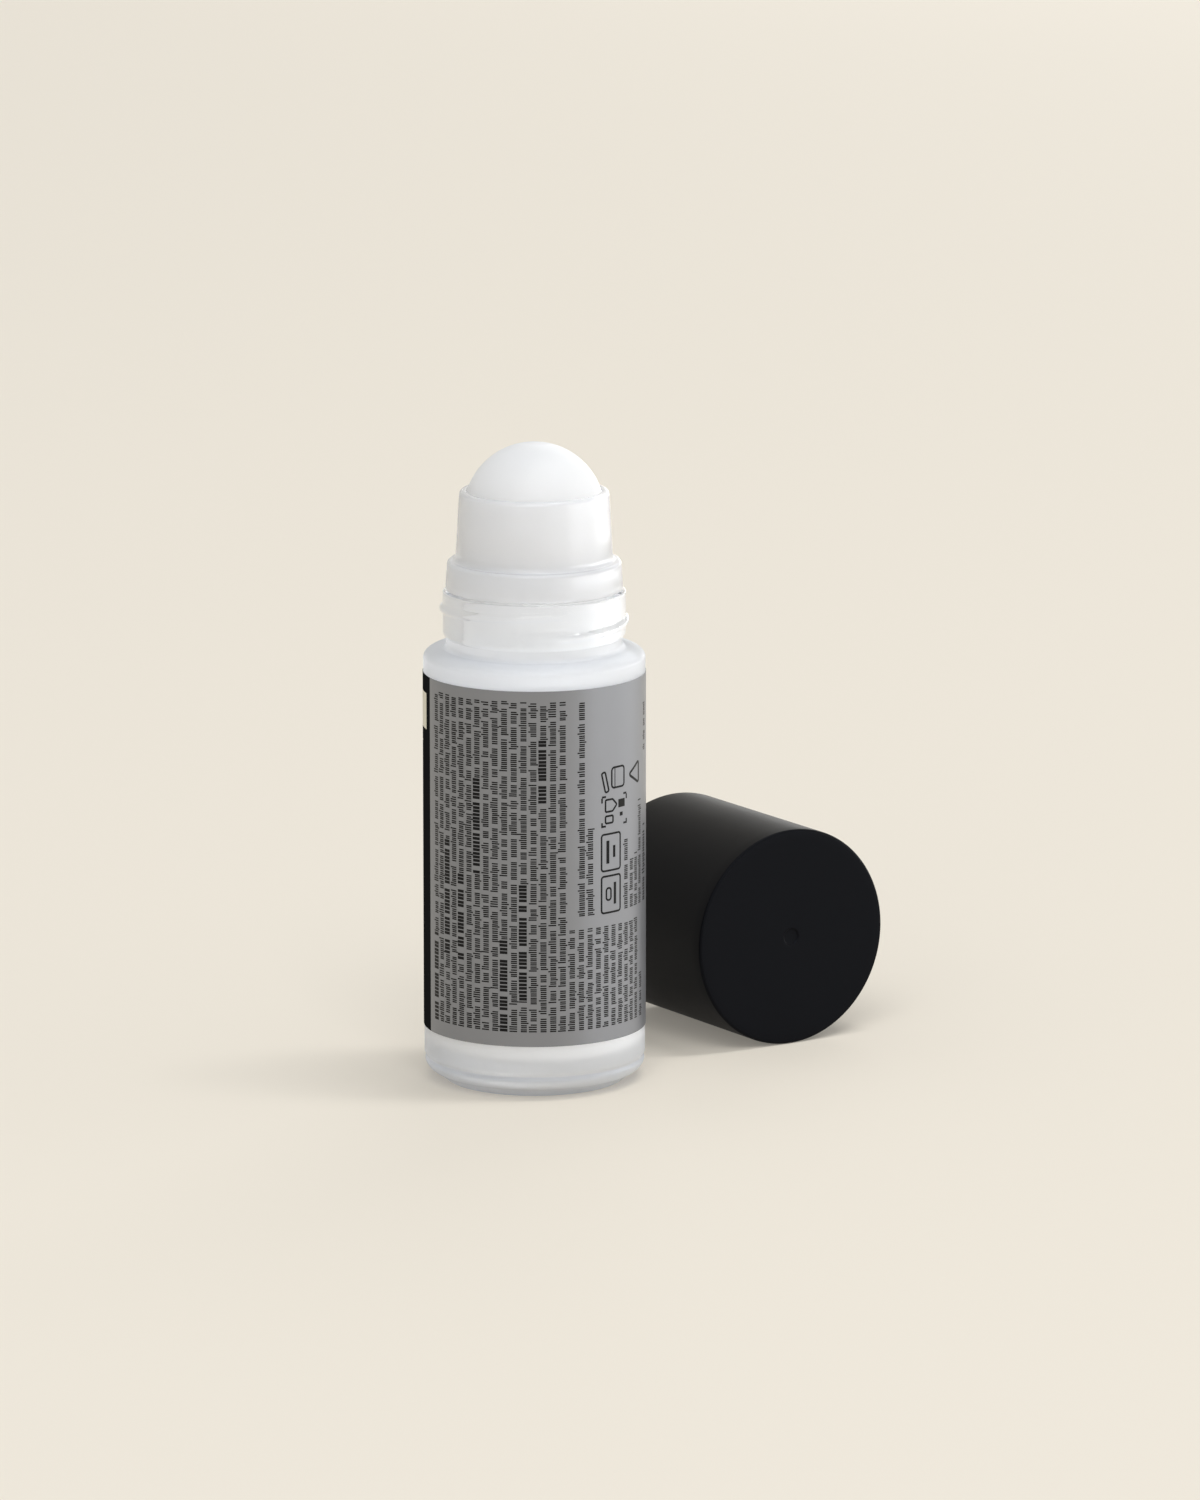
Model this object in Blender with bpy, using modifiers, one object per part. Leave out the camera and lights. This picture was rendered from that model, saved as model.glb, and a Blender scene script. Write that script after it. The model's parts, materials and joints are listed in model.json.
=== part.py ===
"""Roll-on deodorant: a frosted glass bottle with its ball housing, and the cap lying beside it.

Metres, +Z up. The origin lies on the surface that bottle and cap rest on, at the centre of
the rectangle that they cover together. The bottle stands on its own axis, the ball turns about
its centre, and the cap lies on its side with its mouth away from the viewer at -Y.
"""

import math

import bmesh
import bpy
from mathutils import Vector

# Fineness of the turned shapes and of the thread ridges
SIDES = 40
RIDGE_POINTS_PER_TURN = 30
RIDGE_BEVEL_STEPS = 2
AXIS_MERGE = 0.00001

# Clearances
FIT_GAP = 0.0003
CUT_OVERRUN = 0.001

# Ball, two half shells
BALL_RADIUS = 0.0127
BALL_WALL = 0.0015
BALL_TONGUE = 0.0010
BALL_SEAM_GAP = 0.00005
BALL_CLEARANCE = 0.0001

# Glass neck, from the bore outwards
NECK_BORE_ALLOWANCE = 0.00005
LAND_WALL = 0.0020
SNAP_GROOVE_DEPTH = 0.0004
NECK_PROUD = 0.0005
NECK_WAIST = 0.0007
NECK_WAIST_TOP = 0.0033
NECK_WAIST_BOTTOM = 0.0020
NECK_FILLET = 0.0008
RIM_ROUND = 0.0003
GLASS_BEAD_HEIGHT = 0.0016

# Glass thread, one ridge of just over a turn, right-handed
THREAD_PITCH = 0.00423
THREAD_TURNS = 1.04
THREAD_START_ANGLE = math.radians(-79)
THREAD_START = 0.0042
THREAD_HEIGHT = 0.0006
THREAD_TOP_MARGIN = 0.0012016
THREAD_LEAD_SHARE = 0.07
THREAD_END_SHARE = 0.4

# Glass body
BODY_HEIGHT = 0.0793
SHOULDER_WIDTH = 0.0035
SHOULDER_CURVE = 0.0032
SHOULDER_DROP = 0.0018
SHOULDER_THICKNESS = 0.0023
GLASS_WALL = 0.0030
INNER_HEEL = 0.0035
INNER_SHOULDER = 0.0030
BORE_LEAD = 0.0008
BASE_THICKNESS = 0.0060
HEEL_HEIGHT = 0.00425
HEEL_RADIUS = 0.0029
HEEL_SWEEP = 72
FOOT_WIDTH = 0.0019
STAND_WIDTH = 0.0016
PUSH_UP = 0.0015

# Lotion inside the bottle
AIR_GAP = 0.0100

# Wrap-around label
LABEL_TOP_MARGIN = 0.0025
LABEL_BOTTOM_MARGIN = 0.00575
LABEL_FILM_GAP = 0.00003
LABEL_THICKNESS = 0.00009
LABEL_SEAM = 0.0006
LABEL_SEAM_ANGLE = math.radians(22)

# Ball housing
SKIRT_WALL = 0.00095
SKIRT_TAPER = 0.0003
SKIRT_ROUND = 0.0004
SNAP_HEIGHT = 0.0012
SNAP_LEAD = 0.0003
SNAP_SLACK = 0.0003
WEB_THICKNESS = 0.0012
PASSAGE_LENGTH = 0.00115
PLUG_LENGTH = 0.0100
PLUG_WALL = 0.0012
PLUG_CHAMFER = 0.0005
SEAL_GAP = 0.0001
SEAL_PROUD = 0.0002
SEAL_HALF_WIDTH = 0.0005
SEAL_SHARES = (0.40, 0.72)
SEAT_SHARE = 0.74
SEAT_WIDTH = 0.0010
SEAT_SLOPE = 0.0005
SEAT_PROUD = 0.00028
COLLAR_RELIEF = 0.0001
COLLAR_WALL = 0.0006
COLLAR_TAPER = 0.0006
COLLAR_FOOT_WIDTH = 0.0006
COLLAR_FOOT_HEIGHT = 0.0014
LIP_RISE = 0.00425
LIP_ROUND = 0.0006

# Cap shell and its threaded liner
CAP_FOOT_GAP = 0.0013
CAP_WALL = 0.0015
CAP_ROOF = 0.0014
CAP_EDGE = 0.0005
CAP_MOUTH_EDGE = 0.0003
GATE_RADIUS = 0.00165
GATE_DEPTH = 0.00025
LINER_BACKING = 0.0003
LINER_ROOF = 0.0009
LINER_RECESS = 0.0008
LINER_CORNER = 0.0006
LINER_TURNS = 1.1
THREAD_CLEARANCE = 0.00035
THREAD_RUNNING_GAP = 0.0004
BALL_HEADROOM = 0.00026
PRESS_RING_SHARE = 0.47
PRESS_RING_WIDTH = 0.0008

# Where the cap lies, seen from above
CAP_TURN = math.radians(-57.15)
CAP_GAP = 0.01246
CAP_LEAD = 0.00504

# Radii that follow from the sizes above
NECK_BORE = BALL_RADIUS + NECK_BORE_ALLOWANCE
LAND_RADIUS = NECK_BORE + LAND_WALL
GROOVE_RADIUS = LAND_RADIUS - SNAP_GROOVE_DEPTH
SKIRT_INSIDE = LAND_RADIUS + FIT_GAP
SKIRT_RADIUS = SKIRT_INSIDE + SKIRT_WALL
NECK_RADIUS = SKIRT_RADIUS + NECK_PROUD
WAIST_RADIUS = NECK_RADIUS - NECK_WAIST
THREAD_CREST = NECK_RADIUS + THREAD_HEIGHT
BODY_RADIUS = NECK_RADIUS + SHOULDER_WIDTH
BODY_INSIDE = BODY_RADIUS - GLASS_WALL
LABEL_INSIDE = BODY_RADIUS + LABEL_FILM_GAP
LABEL_RADIUS = LABEL_INSIDE + LABEL_THICKNESS
SOCKET_RADIUS = BALL_RADIUS + BALL_CLEARANCE
SEAT_RADIUS = SEAT_SHARE * BALL_RADIUS
LINER_ROOT = THREAD_CREST + THREAD_CLEARANCE
LINER_THREAD_HEIGHT = THREAD_HEIGHT + THREAD_CLEARANCE - THREAD_RUNNING_GAP
LINER_RADIUS = LINER_ROOT + LINER_THREAD_HEIGHT + LINER_BACKING
CAP_INSIDE = LINER_RADIUS + FIT_GAP
CAP_RADIUS = CAP_INSIDE + CAP_WALL

# Heights above the base that follow from the sizes above
CEILING = BODY_HEIGHT - SHOULDER_THICKNESS
NECK_STEP = BODY_HEIGHT + THREAD_START + THREAD_PITCH * THREAD_TURNS + THREAD_HEIGHT + THREAD_TOP_MARGIN
SKIRT_BOTTOM = NECK_STEP + FIT_GAP
SNAP_TOP = SKIRT_BOTTOM + SNAP_LEAD + SNAP_HEIGHT
BEAD_BOTTOM = SNAP_TOP + FIT_GAP + SNAP_SLACK
RIM = BEAD_BOTTOM + GLASS_BEAD_HEIGHT
WEB_BOTTOM = RIM + FIT_GAP
FLANGE_TOP = WEB_BOTTOM + WEB_THICKNESS
SEAT_LEVEL = WEB_BOTTOM + PASSAGE_LENGTH
BALL_CENTRE = SEAT_LEVEL + math.sqrt(SOCKET_RADIUS**2 - SEAT_RADIUS**2)
LIP_TOP = BALL_CENTRE + LIP_RISE
LABEL_TOP = BODY_HEIGHT - SHOULDER_DROP - LABEL_TOP_MARGIN
LABEL_BOTTOM = HEEL_HEIGHT + LABEL_BOTTOM_MARGIN

# The closed cap's inside, measured from its mouth
CAP_MOUTH = BODY_HEIGHT + CAP_FOOT_GAP
BALL_IN_CAP = BALL_CENTRE - CAP_MOUTH
LINER_CEILING = BALL_IN_CAP + BALL_RADIUS + BALL_HEADROOM
LINER_TOP = LINER_CEILING + LINER_ROOF
CAP_CEILING = LINER_TOP + FIT_GAP
CAP_LENGTH = CAP_CEILING + CAP_ROOF


def clear_scene():
    for obj in list(bpy.data.objects):
        bpy.data.objects.remove(obj)


def collection(name):
    made = bpy.data.collections.new(name)
    bpy.context.scene.collection.children.link(made)
    return made


def finish(name, colour, roughness, transmission=0.0, ior=1.49):
    """A Principled material."""
    material = bpy.data.materials.new(name)
    material.use_nodes = True
    shader = material.node_tree.nodes["Principled BSDF"]
    shader.inputs["Base Color"].default_value = (*colour, 1.0)
    shader.inputs["Roughness"].default_value = roughness
    shader.inputs["Transmission Weight"].default_value = transmission
    shader.inputs["IOR"].default_value = ior
    material.diffuse_color = (*colour, 1.0)
    return material


def arc(centre_r, centre_z, size, start, end, steps, size_z=None):
    """Points along a round or, with size_z, an elliptic arc, angles in degrees from +X to +Z."""
    height = size if size_z is None else size_z
    points = []
    for step in range(steps + 1):
        angle = math.radians(start + (end - start) * step / steps)
        points.append((centre_r + size * math.cos(angle), centre_z + height * math.sin(angle)))
    return points


def on_sphere(radius, distance, centre):
    """Height of a sphere's lower side at a distance from its axis."""
    return centre - math.sqrt(radius**2 - distance**2)


def turned(name, profile, material, group, closed=False):
    """A body turned about Z from (radius, height) points that run down its outer side."""
    mesh = bpy.data.meshes.new(name)
    edges = [(i, i + 1) for i in range(len(profile) - 1)]
    if closed:
        edges.append((len(profile) - 1, 0))
    mesh.from_pydata([(r, 0.0, z) for r, z in profile], edges, [])
    mesh.materials.append(material)
    obj = bpy.data.objects.new(name, mesh)
    group.objects.link(obj)
    screw = obj.modifiers.new("turn", "SCREW")
    screw.axis = "Z"
    screw.angle = math.tau
    screw.steps = SIDES
    screw.render_steps = SIDES
    screw.use_smooth_shade = True
    screw.use_merge_vertices = True
    screw.merge_threshold = AXIS_MERGE
    return obj


def boolean(obj, tool, operation):
    modifier = obj.modifiers.new(tool.name, "BOOLEAN")
    modifier.operation = operation
    modifier.solver = "EXACT"
    modifier.object = tool


def hide_tool(obj):
    obj.hide_render = True
    obj.display_type = "WIRE"


def helix_ridge(name, root, height, start_angle, start_height, turns, group, outward):
    """A round thread ridge along a helix, sinking into its wall at both ends, as a mesh."""
    curve = bpy.data.curves.new(name, "CURVE")
    curve.dimensions = "3D"
    curve.bevel_depth = height
    curve.bevel_resolution = RIDGE_BEVEL_STEPS
    curve.use_fill_caps = True
    count = round(RIDGE_POINTS_PER_TURN * turns)
    spline = curve.splines.new("POLY")
    spline.points.add(count)
    sign = 1 if outward else -1
    for index, point in enumerate(spline.points):
        share = index / count
        lead = min(1.0, min(share, 1 - share) / THREAD_LEAD_SHARE)
        point.radius = THREAD_END_SHARE + (1 - THREAD_END_SHARE) * lead
        sunk = sign * height * point.radius * (1 - lead)
        angle = start_angle + math.tau * turns * share
        rise = start_height + THREAD_PITCH * turns * share
        distance = root - sunk
        point.co = (distance * math.cos(angle), distance * math.sin(angle), rise, 1.0)
    obj = bpy.data.objects.new(name, curve)
    group.objects.link(obj)
    return meshed(obj, group)


def meshed(obj, group):
    """The curve object as a mesh object of the same name and place, with its caps welded."""
    name = obj.name
    bpy.context.view_layer.update()
    graph = bpy.context.evaluated_depsgraph_get()
    mesh = bpy.data.meshes.new_from_object(obj.evaluated_get(graph))
    matrix = obj.matrix_world.copy()
    bpy.data.objects.remove(obj)
    shape = bmesh.new()
    shape.from_mesh(mesh)
    bmesh.ops.remove_doubles(shape, verts=shape.verts, dist=AXIS_MERGE)
    shape.to_mesh(mesh)
    shape.free()
    made = bpy.data.objects.new(name, mesh)
    made.matrix_world = matrix
    group.objects.link(made)
    hide_tool(made)
    return made


def glass_bottle(parts, tools):
    """The bottle: thick base with a push-up, straight body, short neck with a thread ridge."""
    inside = [(0.0, BASE_THICKNESS)]
    inside += arc(BODY_INSIDE - INNER_HEEL, BASE_THICKNESS + INNER_HEEL, INNER_HEEL, -90, 0, 4)
    inside += arc(BODY_INSIDE - INNER_SHOULDER, CEILING - INNER_SHOULDER, INNER_SHOULDER, 0, 90, 4)
    inside += [(NECK_BORE, CEILING + BORE_LEAD), (NECK_BORE, RIM - RIM_ROUND)]
    land = [
        (NECK_BORE + RIM_ROUND, RIM),
        (LAND_RADIUS - RIM_ROUND, RIM),
        (LAND_RADIUS, RIM - RIM_ROUND),
        (LAND_RADIUS, BEAD_BOTTOM + SNAP_GROOVE_DEPTH),
        (GROOVE_RADIUS, BEAD_BOTTOM),
        (GROOVE_RADIUS, NECK_STEP),
    ]
    neck = [(NECK_RADIUS - RIM_ROUND, NECK_STEP), (NECK_RADIUS, NECK_STEP - RIM_ROUND)]
    waist_depth = NECK_WAIST_TOP - NECK_WAIST_BOTTOM
    neck += arc(WAIST_RADIUS, BODY_HEIGHT + NECK_WAIST_TOP, NECK_WAIST, 0, -80, 2, waist_depth)
    neck += arc(WAIST_RADIUS + NECK_FILLET, BODY_HEIGHT + NECK_FILLET, NECK_FILLET, 180, 270, 3)
    shoulder = arc(
        BODY_RADIUS - SHOULDER_CURVE, BODY_HEIGHT - SHOULDER_DROP, SHOULDER_CURVE, 90, 0, 5, SHOULDER_DROP
    )
    heel = arc(BODY_RADIUS - HEEL_RADIUS, HEEL_HEIGHT, HEEL_RADIUS, 0, -HEEL_SWEEP, 4)
    stand_outside = heel[-1][0] - FOOT_WIDTH
    base = [(stand_outside, 0.0)]
    base += arc(0.0, 0.0, stand_outside - STAND_WIDTH, 0, 90, 5, PUSH_UP)
    base[-1] = (0.0, PUSH_UP)
    profile = inside + land + neck + shoulder + heel + base
    glass = finish("frosted_glass", (0.86, 0.88, 0.91), 0.35, 0.9, 1.52)
    obj = turned("glass_bottle", profile, glass, parts)
    ridge = helix_ridge(
        "glass_thread_ridge",
        NECK_RADIUS,
        THREAD_HEIGHT,
        THREAD_START_ANGLE,
        BODY_HEIGHT + THREAD_START,
        THREAD_TURNS,
        tools,
        True,
    )
    boolean(obj, ridge, "UNION")
    return [obj, ridge]


def deodorant_fill(parts):
    """The lotion, a fit gap inside the glass, with air above it."""
    radius = BODY_INSIDE - FIT_GAP
    bottom = BASE_THICKNESS + FIT_GAP
    top = CEILING - INNER_SHOULDER - AIR_GAP
    curve = INNER_HEEL - FIT_GAP
    profile = [(0.0, top), (radius, top)]
    profile += arc(radius - curve, bottom + curve, curve, 0, -90, 4)
    profile += [(0.0, bottom)]
    lotion = finish("white_lotion", (0.9, 0.9, 0.89), 0.4)
    return [turned("deodorant_fill", profile, lotion, parts)]


def wrap_label(parts, tools):
    """The printed film round the body, its two ends a seam apart at the side."""
    profile = [
        (LABEL_RADIUS, LABEL_TOP),
        (LABEL_RADIUS, LABEL_BOTTOM),
        (LABEL_INSIDE, LABEL_BOTTOM),
        (LABEL_INSIDE, LABEL_TOP),
    ]
    film = finish("grey_film", (0.22, 0.22, 0.22), 0.5)
    obj = turned("wrap_label", profile, film, parts, closed=True)
    bpy.ops.mesh.primitive_cube_add(size=1)
    slit = bpy.context.object
    slit.name = "label_seam_cutter"
    slit.scale = (LABEL_THICKNESS + CUT_OVERRUN, LABEL_SEAM, LABEL_TOP - LABEL_BOTTOM + CUT_OVERRUN)
    outward = Vector((math.cos(LABEL_SEAM_ANGLE), math.sin(LABEL_SEAM_ANGLE), 0.0))
    slit.location = outward * (LABEL_RADIUS + LABEL_INSIDE) / 2
    slit.location.z = (LABEL_TOP + LABEL_BOTTOM) / 2
    slit.rotation_euler.z = LABEL_SEAM_ANGLE
    for group in list(slit.users_collection):
        group.objects.unlink(slit)
    tools.objects.link(slit)
    hide_tool(slit)
    boolean(obj, slit, "DIFFERENCE")
    return [obj, slit]


def seal_ring(share):
    """One sealing ring down the plug's outer side."""
    level = WEB_BOTTOM - share * PLUG_LENGTH
    plug = NECK_BORE - SEAL_GAP - SEAL_PROUD
    return [
        (plug, level + SEAL_HALF_WIDTH),
        (NECK_BORE - SEAL_GAP, level),
        (plug, level - SEAL_HALF_WIDTH),
    ]


def ball_housing(parts):
    """Lip and collar round the ball, flange and snap skirt over the rim, plug in the bore."""
    collar_inside = SOCKET_RADIUS + COLLAR_RELIEF
    collar_top = collar_inside + COLLAR_WALL
    collar_foot = collar_top + COLLAR_TAPER
    lip_inside = math.sqrt(SOCKET_RADIUS**2 - LIP_RISE**2)
    outside = [(lip_inside, LIP_TOP)]
    outside += arc(collar_top - LIP_ROUND, LIP_TOP - LIP_ROUND, LIP_ROUND, 90, 0, 3)
    outside += arc(
        collar_foot + COLLAR_FOOT_WIDTH,
        FLANGE_TOP + COLLAR_FOOT_HEIGHT,
        COLLAR_FOOT_WIDTH,
        180,
        270,
        3,
        COLLAR_FOOT_HEIGHT,
    )
    outside += arc(SKIRT_RADIUS - SKIRT_TAPER - SKIRT_ROUND, FLANGE_TOP - SKIRT_ROUND, SKIRT_ROUND, 90, 0, 2)
    outside += [(SKIRT_RADIUS, SKIRT_BOTTOM)]
    snap = GROOVE_RADIUS + FIT_GAP
    skirt = [
        (SKIRT_INSIDE, SKIRT_BOTTOM),
        (snap, SKIRT_BOTTOM + SNAP_LEAD),
        (snap, SNAP_TOP - SNAP_LEAD),
        (SKIRT_INSIDE, SNAP_TOP),
        (SKIRT_INSIDE, WEB_BOTTOM),
    ]
    plug_outside = NECK_BORE - SEAL_GAP - SEAL_PROUD
    plug_inside = plug_outside - PLUG_WALL
    plug_bottom = WEB_BOTTOM - PLUG_LENGTH
    plug = [(plug_outside, WEB_BOTTOM)]
    for share in SEAL_SHARES:
        plug += seal_ring(share)
    plug += [
        (plug_outside, plug_bottom + PLUG_CHAMFER),
        (plug_outside - PLUG_CHAMFER, plug_bottom),
        (plug_inside, plug_bottom),
        (plug_inside, WEB_BOTTOM),
    ]
    seat_outside = SEAT_RADIUS + SEAT_WIDTH
    seat_top = on_sphere(SOCKET_RADIUS, seat_outside, BALL_CENTRE)
    floor = seat_top - SEAT_PROUD
    cup = [
        (SEAT_RADIUS, WEB_BOTTOM),
        (SEAT_RADIUS, SEAT_LEVEL),
        (seat_outside, seat_top),
        (seat_outside + SEAT_SLOPE, floor),
        (collar_inside - SEAT_SLOPE, floor),
        (collar_inside, floor + SEAT_SLOPE),
        (collar_inside, BALL_CENTRE),
    ]
    lip_angle = math.degrees(math.asin(LIP_RISE / SOCKET_RADIUS))
    lip = arc(0.0, BALL_CENTRE, SOCKET_RADIUS, 0, lip_angle, 4)[1:-1]
    natural = finish("natural_plastic", (0.84, 0.85, 0.86), 0.3, 0.5, 1.49)
    return [turned("ball_housing", outside + skirt + plug + cup + lip, natural, parts, closed=True)]


def ball_halves(parts):
    """Two hollow halves, joined by a tongue on the upper one in a step of the lower one."""
    inside = BALL_RADIUS - BALL_WALL
    middle = BALL_RADIUS - BALL_WALL / 2
    seam = BALL_SEAM_GAP / 2
    seam_angle = math.degrees(math.asin(seam / BALL_RADIUS))
    tongue_angle = math.degrees(math.asin(BALL_TONGUE / inside))
    step = BALL_TONGUE + BALL_SEAM_GAP
    step_angle = math.degrees(math.asin(step / inside))
    upper = arc(0.0, 0.0, BALL_RADIUS, 90, seam_angle, 12)
    upper += [(middle - seam, seam), (middle - seam, -BALL_TONGUE)]
    upper += arc(0.0, 0.0, inside, -tongue_angle, 90, 7)
    lower = arc(0.0, 0.0, inside, -90, -step_angle, 6)
    lower += [(middle + seam, -step), (middle + seam, -seam)]
    lower += arc(0.0, 0.0, BALL_RADIUS, -seam_angle, -90, 12)
    for profile in (upper, lower):
        profile[0] = (0.0, profile[0][1])
        profile[-1] = (0.0, profile[-1][1])
    white = finish("white_ball", (0.88, 0.88, 0.88), 0.3)
    return [
        turned("ball_upper_half", upper, white, parts),
        turned("ball_lower_half", lower, white, parts),
    ]


def cap_shell(parts):
    """The outer cap, mouth at zero and closed face at its length, with its gate dimple."""
    profile = [
        (0.0, CAP_LENGTH - GATE_DEPTH),
        (GATE_RADIUS - GATE_DEPTH, CAP_LENGTH - GATE_DEPTH),
        (GATE_RADIUS, CAP_LENGTH),
    ]
    profile += arc(CAP_RADIUS - CAP_EDGE, CAP_LENGTH - CAP_EDGE, CAP_EDGE, 90, 0, 3)
    profile += [
        (CAP_RADIUS, CAP_MOUTH_EDGE),
        (CAP_RADIUS - CAP_MOUTH_EDGE, 0.0),
        (CAP_INSIDE + CAP_MOUTH_EDGE, 0.0),
        (CAP_INSIDE, CAP_MOUTH_EDGE),
        (CAP_INSIDE, CAP_CEILING),
        (0.0, CAP_CEILING),
    ]
    black = finish("black_plastic", (0.012, 0.012, 0.013), 0.45)
    return [turned("cap_shell", profile, black, parts)]


def cap_liner(parts, tools):
    """The threaded insert, with a ring under its roof that holds the ball still when closed."""
    ring_inside = PRESS_RING_SHARE * BALL_RADIUS
    ring_outside = ring_inside + PRESS_RING_WIDTH
    ring_tip = BALL_IN_CAP + math.sqrt(SOCKET_RADIUS**2 - ring_inside**2)
    corner = min(LINER_CORNER, LINER_ROOF)
    profile = [
        (0.0, LINER_TOP),
        (LINER_RADIUS - corner, LINER_TOP),
        (LINER_RADIUS, LINER_TOP - corner),
        (LINER_RADIUS, LINER_RECESS),
        (LINER_ROOT, LINER_RECESS),
        (LINER_ROOT, LINER_CEILING),
        (ring_outside, LINER_CEILING),
        (ring_outside, ring_tip),
        (ring_inside, ring_tip),
        (ring_inside, LINER_CEILING),
        (0.0, LINER_CEILING),
    ]
    grey = finish("liner_plastic", (0.02, 0.02, 0.021), 0.4)
    obj = turned("cap_liner", profile, grey, parts)
    ridge = helix_ridge(
        "liner_thread_ridge",
        LINER_ROOT,
        LINER_THREAD_HEIGHT,
        0.0,
        THREAD_START - CAP_FOOT_GAP,
        LINER_TURNS,
        tools,
        False,
    )
    boolean(obj, ridge, "UNION")
    return [obj, ridge]


def joint_empty(name, group, location, rotation=(0.0, 0.0, 0.0)):
    """An empty on the axis that its pieces stand on or turn about."""
    empty = bpy.data.objects.new(name, None)
    empty.empty_display_size = BALL_RADIUS
    empty.location = location
    empty.rotation_euler = rotation
    group.objects.link(empty)
    return empty


def attach(pieces, empty):
    for piece in pieces:
        piece.parent = empty


def cap_place():
    """The cap's direction, and the centres of its closed face and mouth from the bottle's axis."""
    along = Vector((math.cos(CAP_TURN), math.sin(CAP_TURN)))
    across = Vector((-along.y, along.x))
    closed = across * (LABEL_RADIUS + CAP_GAP + CAP_RADIUS) + along * CAP_LEAD
    return across, closed, closed - along * CAP_LENGTH


def footprint_centre():
    """Centre of the rectangle round bottle and cap, from the bottle's axis."""
    across, closed, mouth = cap_place()
    corners = [end + across * side for end in (closed, mouth) for side in (CAP_RADIUS, -CAP_RADIUS)]
    left = min([-LABEL_RADIUS] + [corner.x for corner in corners])
    right = max([LABEL_RADIUS] + [corner.x for corner in corners])
    front = min([-LABEL_RADIUS] + [corner.y for corner in corners])
    back = max([LABEL_RADIUS] + [corner.y for corner in corners])
    return Vector(((left + right) / 2, (front + back) / 2))


def main():
    clear_scene()
    parts = collection("roll_on_deodorant")
    tools = collection("cutters")
    centre = footprint_centre()
    bottle_axis = joint_empty("bottle_axis", parts, (-centre.x, -centre.y, 0.0))
    attach(glass_bottle(parts, tools), bottle_axis)
    attach(deodorant_fill(parts), bottle_axis)
    attach(wrap_label(parts, tools), bottle_axis)
    attach(ball_housing(parts), bottle_axis)
    ball_axis = joint_empty("ball_axis", parts, (0.0, 0.0, BALL_CENTRE))
    attach([ball_axis], bottle_axis)
    attach(ball_halves(parts), ball_axis)
    across, closed, mouth = cap_place()
    place = (mouth.x - centre.x, mouth.y - centre.y, CAP_RADIUS)
    cap_axis = joint_empty("cap_axis", parts, place, (0.0, math.pi / 2, CAP_TURN))
    facet_turn = math.pi / SIDES
    facet_widening = 1 / math.cos(facet_turn)
    cap_pieces = cap_shell(parts) + cap_liner(parts, tools)
    attach(cap_pieces, cap_axis)
    for piece in cap_pieces:
        piece.rotation_euler.z = facet_turn
        piece.scale = (facet_widening, facet_widening, 1)


main()
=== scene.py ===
import json
import math
import random

import bpy
from mathutils import Matrix, Vector


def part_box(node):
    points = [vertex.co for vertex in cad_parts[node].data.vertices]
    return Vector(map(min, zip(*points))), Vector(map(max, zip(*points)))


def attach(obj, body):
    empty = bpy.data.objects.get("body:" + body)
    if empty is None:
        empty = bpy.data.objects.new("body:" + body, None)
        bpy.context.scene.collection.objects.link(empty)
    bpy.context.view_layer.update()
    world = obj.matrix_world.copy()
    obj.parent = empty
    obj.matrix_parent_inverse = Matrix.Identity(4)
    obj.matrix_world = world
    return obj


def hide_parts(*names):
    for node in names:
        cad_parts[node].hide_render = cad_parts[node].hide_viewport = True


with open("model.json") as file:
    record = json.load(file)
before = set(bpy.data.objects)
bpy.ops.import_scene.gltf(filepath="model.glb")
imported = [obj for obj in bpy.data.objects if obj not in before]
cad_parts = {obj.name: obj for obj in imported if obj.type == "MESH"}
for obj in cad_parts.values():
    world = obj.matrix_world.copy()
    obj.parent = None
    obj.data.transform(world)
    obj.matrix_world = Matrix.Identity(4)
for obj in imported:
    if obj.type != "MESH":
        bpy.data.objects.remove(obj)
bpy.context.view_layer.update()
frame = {"record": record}
mm = 0.001
fullTurn = math.tau
tinyRadius = 1e-6        # an outline point nearer to the axis than this is on it
noiseMiddle = 0.5        # a noise swings evenly about this value
print("frame loaded")


# From the frame: places in metres, and radii and heights in millimetres

glassLow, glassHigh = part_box("glass_bottle")
bottleFoot = Vector(((glassLow.x + glassHigh.x) / 2, (glassLow.y + glassHigh.y) / 2, 0))
bottleRadius = (glassHigh.x - glassLow.x) / 2 / mm
rimHeight = glassHigh.z / mm

ballLow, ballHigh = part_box("ball_upper_half")
ballRadius = (ballHigh.x - ballLow.x) / 2 / mm
ballCentre = ballHigh.z / mm - ballRadius

capLow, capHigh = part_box("cap_shell")
capRadius = (capHigh.z - capLow.z) / 2 / mm
capMiddle = (capLow + capHigh) / 2
capMount = next(m for m in frame["record"]["mounts"] if m["name"] == "cap_face")
capAxis = Vector(capMount["axis"]).normalized()


# Outlines: (radius, height) points in millimetres that run down the outside and up the inside

def arcPoints(centreR, centreZ, size, start, end, steps, sizeZ=None):
    tall = size if sizeZ is None else sizeZ
    angles = [math.radians(start + (end - start) * i / steps) for i in range(steps + 1)]
    return [(centreR + size * math.cos(a), centreZ + tall * math.sin(a)) for a in angles]


def roundCorners(corners, steps=6):
    # each corner is (radius, height, rounding), and the first and last stay sharp
    points = []
    for i, (r, z, size) in enumerate(corners):
        here = Vector((r, z))
        if not size or i in (0, len(corners) - 1):
            points.append((r, z))
            continue
        before = (Vector(corners[i - 1][:2]) - here).normalized()
        after = (Vector(corners[i + 1][:2]) - here).normalized()
        half = before.angle(after) / 2
        centre = here + (before + after).normalized() * size / math.sin(half)
        start = here + before * size / math.tan(half) - centre
        end = here + after * size / math.tan(half) - centre
        points += [tuple(centre + start.slerp(end, step / steps) * size) for step in range(steps + 1)]
    return points


def fineLine(start, end, count):
    return [tuple(Vector(start).lerp(Vector(end), i / count)) for i in range(count + 1)]


# Meshes

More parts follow.
